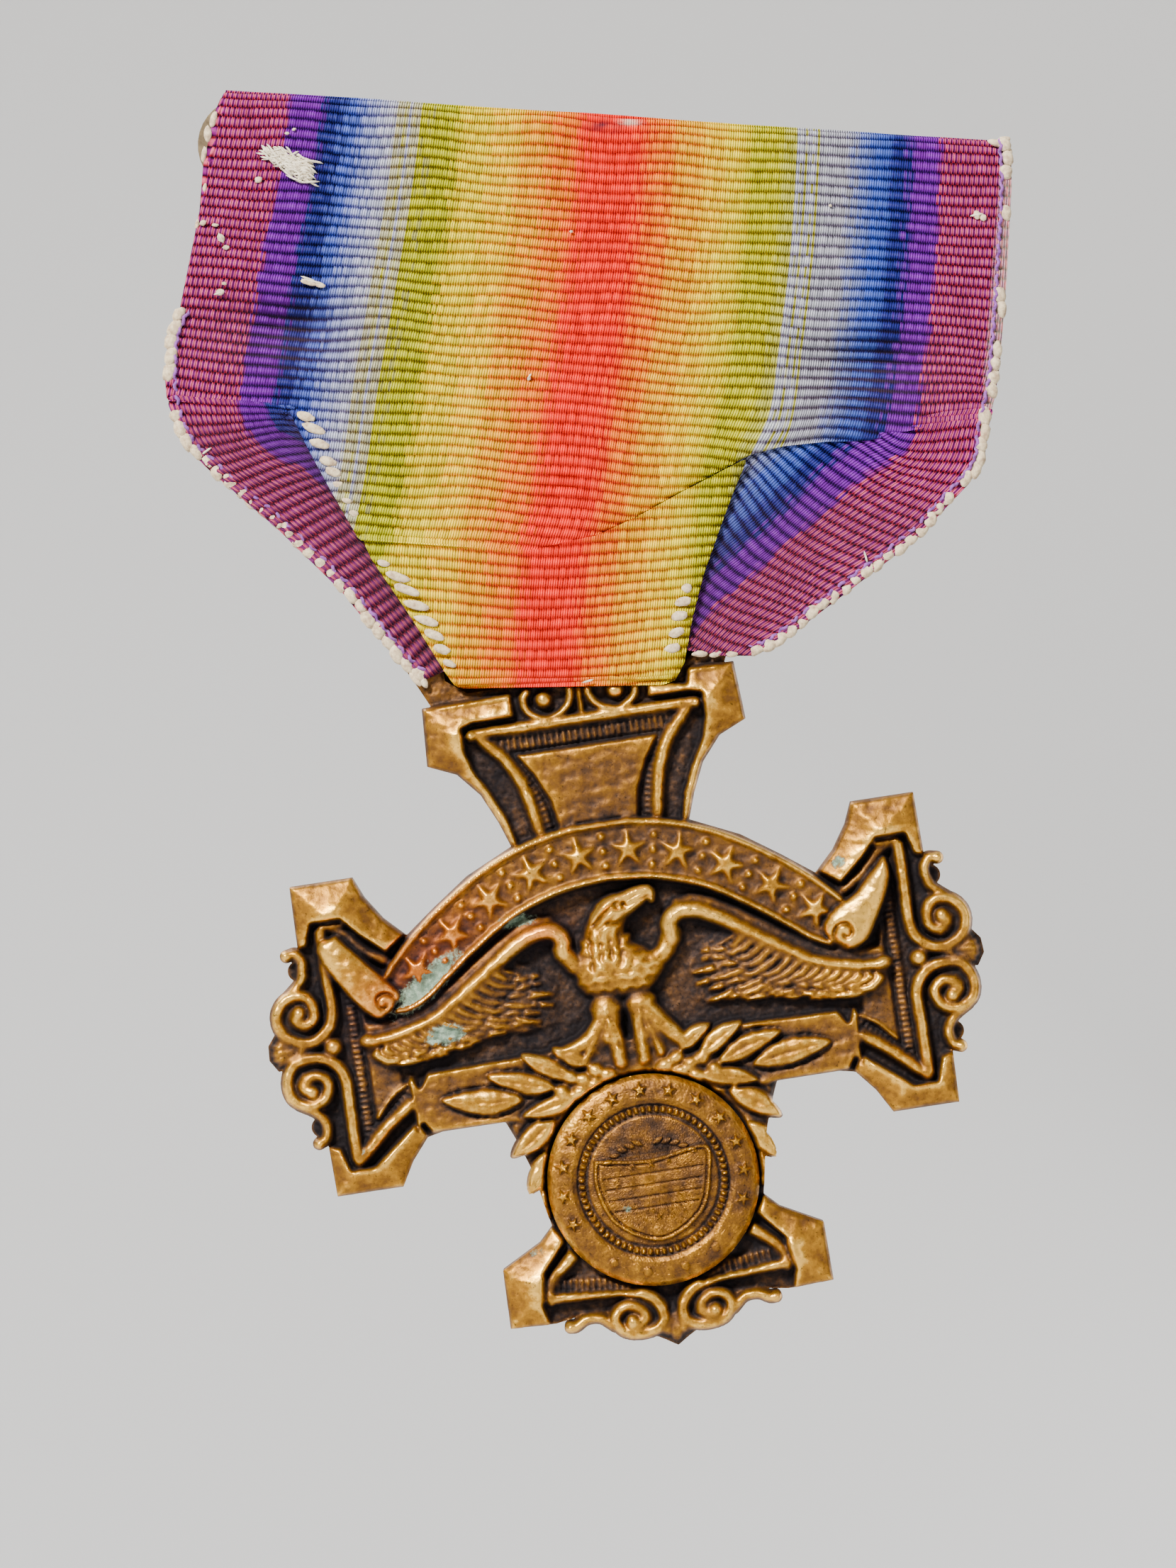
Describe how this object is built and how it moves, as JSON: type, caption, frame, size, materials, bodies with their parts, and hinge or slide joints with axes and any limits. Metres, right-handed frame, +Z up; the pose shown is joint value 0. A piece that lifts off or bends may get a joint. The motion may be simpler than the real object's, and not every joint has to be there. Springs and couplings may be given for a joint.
{
  "type": "service medal",
  "caption": "Struck bronze cross with an eagle and a round seal disc, hung by a slotted tab from a pleated rainbow-striped ribbon on a pin-back brooch.",
  "frame": {"origin": "garment line: level with the brooch plate's centre line, midway between the ribbon's back ply and the pin, on the ribbon's middle", "axes": "+X along the brooch plate, to the right as seen from the face; -Y is the face and +Y the pin side; +Z up, so the cross hangs towards -Z"},
  "size_m": [0.0378, 0.0059, 0.0542],
  "materials": {
    "bronze": "struck bronze, dark in the recesses and worn bright on the highlights",
    "ribbon_weave": "ribbed rainbow-striped weave",
    "brooch_metal": "dull, tarnished",
    "thread": "cotton thread"
  },
  "bodies": {
    "ribbon_and_brooch": {"ribbon": "ribbon_weave", "brooch_plate": "brooch_metal", "pin_hinge": "brooch_metal", "hinge_rivet": "brooch_metal", "pin_catch": "brooch_metal", "tack_thread": "thread"},
    "pin": {"brooch_pin": "brooch_metal"},
    "cross": {"struck_cross": "bronze", "seal_disc": "bronze"}
  },
  "joints": [
    {"name": "pin_hinge_turn", "type": "hinge", "parent": "ribbon_and_brooch", "child": "pin", "pos_m": [-0.0136, 0.0012, 0], "axis": [0, 0, 1], "range_deg": [0, 100]},
    {"name": "cross_swing", "type": "hinge", "parent": "ribbon_and_brooch", "child": "cross", "pos_m": [-0.00016, -0.00175, -0.02078], "axis": [0.9736, 0, 0.2284], "range_deg": [0, 80]}
  ]
}
